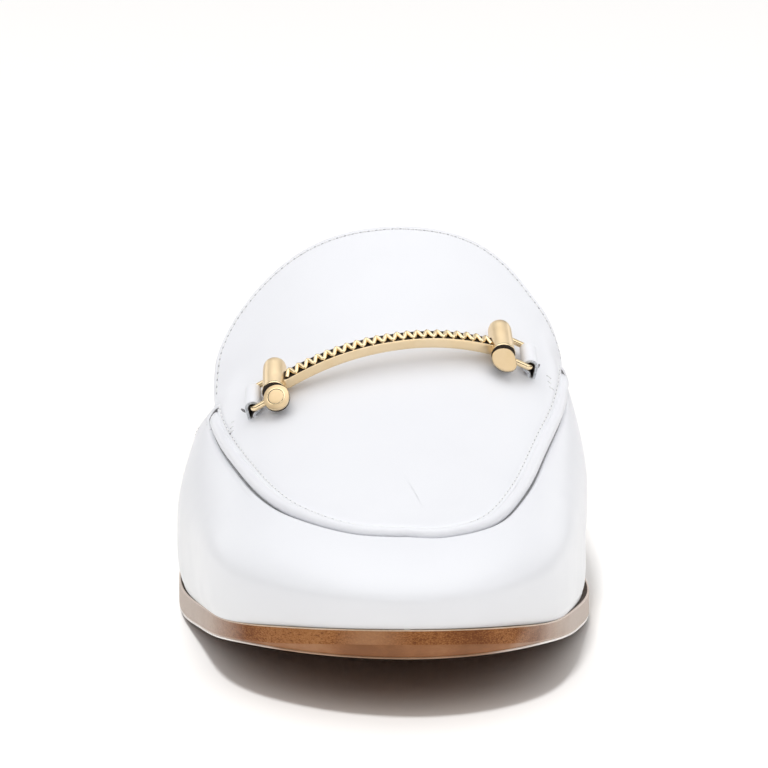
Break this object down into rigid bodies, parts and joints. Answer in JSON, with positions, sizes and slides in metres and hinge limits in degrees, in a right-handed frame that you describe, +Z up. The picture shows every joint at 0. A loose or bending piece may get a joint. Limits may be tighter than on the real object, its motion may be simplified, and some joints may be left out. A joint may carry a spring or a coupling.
{
  "type": "backless loafer",
  "caption": "Backless right-foot loafer with a piped apron and tall rounded tongue, metal bar between two leather tabs, thin leather sole and low stacked heel.",
  "frame": {"origin": "on the floor, under the middle of the shoe's box", "axes": "+Y from toe to heel, +X to the medial side of a right shoe, +Z up"},
  "size_m": [0.0858, 0.2564, 0.0718],
  "materials": {
    "white_leather": "smooth, satin",
    "sole_leather": "mottled brown, burnished",
    "heel_leather": "stacked, burnished",
    "heel_rubber": "matte",
    "sock_leather": "natural, matte",
    "gold_metal": "polished pale gold"
  },
  "bodies": {
    "root": {"outsole": "sole_leather", "heel_stack": "heel_leather", "heel_toplift": "heel_rubber", "insole": "sock_leather", "upper": "white_leather", "apron_piping": "white_leather", "bit_tab_lateral": "white_leather", "bit_tab_medial": "white_leather", "bit_bar": "gold_metal", "bit_end_lateral": "gold_metal", "bit_end_medial": "gold_metal", "bit_ring_lateral": "gold_metal", "bit_ring_medial": "gold_metal"}
  },
  "joints": []
}
